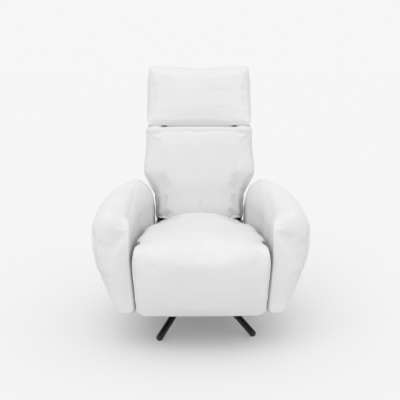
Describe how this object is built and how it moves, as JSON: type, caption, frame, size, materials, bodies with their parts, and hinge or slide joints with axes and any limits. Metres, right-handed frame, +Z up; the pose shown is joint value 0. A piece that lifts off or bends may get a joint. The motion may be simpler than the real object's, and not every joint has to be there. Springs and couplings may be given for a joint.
{
  "type": "star base swivel recliner",
  "caption": "High-back upholstered swivel recliner with padded arms, a tilting headrest and a footrest that folds out of the seat front, on a star base of round steel legs.",
  "frame": {"origin": "on the floor, on the swivel axis at the centre of the star base", "axes": "+Z up along the swivel axis; the chair faces -Y; +X is on the right as seen from the front"},
  "size_m": [0.8506, 0.86, 1.1029],
  "materials": {
    "black_steel": "black powder coat",
    "foot_plastic": "moulded",
    "steel": "zinc plated",
    "bearing_plastic": "moulded acetal",
    "frame_steel": "dark grey coat",
    "dust_fabric": "non-woven",
    "plywood": "raw birch plywood",
    "white_leather": "smooth white leather over foam"
  },
  "bodies": {
    "base": {"hub": "black_steel", "leg_front_right": "black_steel", "leg_side_right": "black_steel", "leg_rear": "black_steel", "leg_side_left": "black_steel", "leg_front_left": "black_steel", "leg_end_caps": "foot_plastic", "spindle": "steel", "spindle_fasteners": "steel", "lower_race": "steel"},
    "bearing_cage": {"bearing_balls": "steel", "ball_cage": "bearing_plastic"},
    "chassis": {"upper_race": "steel", "spindle_bush": "bearing_plastic", "swivel_plate": "frame_steel", "plate_bolts": "steel", "cross_tube_front": "frame_steel", "cross_tube_rear": "frame_steel", "seat_tube_front": "frame_steel", "seat_tube_rear": "frame_steel", "spring_rail": "frame_steel", "seat_springs": "steel", "footrest_axle": "steel", "mechanism_washers": "steel", "frame_bolts": "steel", "arm_spacers": "steel", "dust_cover": "dust_fabric", "seat_cushion": "white_leather", "mechanism_plate_right": "frame_steel", "mechanism_plate_left": "frame_steel", "arm_pad_right": "white_leather", "arm_pad_left": "white_leather", "arm_board_right": "plywood", "arm_board_left": "plywood", "rear_board": "plywood", "rear_panel": "white_leather", "strut_bracket": "frame_steel", "strut_pin": "steel"},
    "footrest": {"footrest_pad": "white_leather", "footrest_board": "plywood", "board_screws": "steel", "footrest_crank_right": "frame_steel", "footrest_crank_left": "frame_steel"},
    "back": {"back_cushion": "white_leather", "back_shell": "white_leather", "back_cross_tubes": "frame_steel", "back_springs": "steel", "back_fork": "frame_steel", "back_upright_right": "frame_steel", "back_upright_left": "frame_steel", "back_plate_right": "frame_steel", "back_plate_left": "frame_steel", "headrest_hinge_bases": "steel"},
    "headrest": {"headrest_cushion": "white_leather", "headrest_board": "plywood", "headrest_hinge_tops": "steel"},
    "push_rod_right": {"push_rod_right": "frame_steel"},
    "push_rod_left": {"push_rod_left": "frame_steel"},
    "strut_cylinder": {"strut_cylinder": "frame_steel"},
    "strut_rod": {"strut_rod": "steel"}
  },
  "joints": [
    {"name": "swivel", "type": "hinge", "parent": "base", "child": "chassis", "pos_m": [0, 0, 0.2], "axis": [0, 0, 1], "continuous": true},
    {"name": "cage_turn", "type": "hinge", "parent": "base", "child": "bearing_cage", "pos_m": [0, 0, 0.193], "axis": [0, 0, 1], "continuous": true},
    {"name": "recline", "type": "hinge", "parent": "chassis", "child": "back", "pos_m": [0, 0.125, 0.385], "axis": [-1, 0, 0], "range_deg": [0, 36]},
    {"name": "footrest_lift", "type": "hinge", "parent": "chassis", "child": "footrest", "pos_m": [0, -0.352, 0.377], "axis": [-1, 0, 0], "range_deg": [0, 84]},
    {"name": "headrest_tilt", "type": "hinge", "parent": "back", "child": "headrest", "pos_m": [0, 0.22613, 0.87865], "axis": [1, 0, 0], "range_deg": [0, 32]},
    {"name": "push_rod_right_pivot", "type": "hinge", "parent": "back", "child": "push_rod_right", "pos_m": [0.18, 0.15281, 0.2994], "axis": [-1, 0, 0], "range_deg": [-36, 0]},
    {"name": "push_rod_left_pivot", "type": "hinge", "parent": "back", "child": "push_rod_left", "pos_m": [-0.18, 0.15281, 0.2994], "axis": [-1, 0, 0], "range_deg": [-36, 0]},
    {"name": "strut_swing", "type": "hinge", "parent": "chassis", "child": "strut_cylinder", "pos_m": [0, -0.13, 0.262], "axis": [1, 0, 0], "range_deg": [0, 3]},
    {"name": "strut_stroke", "type": "slide", "parent": "strut_cylinder", "child": "strut_rod", "axis": [0, -0.9722, -0.2343], "range_m": [0, 0.038]}
  ],
  "couplings": [
    {"joint": "cage_turn", "follows": "swivel", "ratio": 0.5},
    {"joint": "footrest_lift", "follows": "recline", "ratio": 2.3333},
    {"joint": "push_rod_right_pivot", "follows": "recline", "ratio": -1},
    {"joint": "push_rod_left_pivot", "follows": "recline", "ratio": -1},
    {"joint": "strut_swing", "follows": "recline", "ratio": 0.0564},
    {"joint": "strut_stroke", "follows": "recline", "m_per_rad": 0.05713}
  ]
}
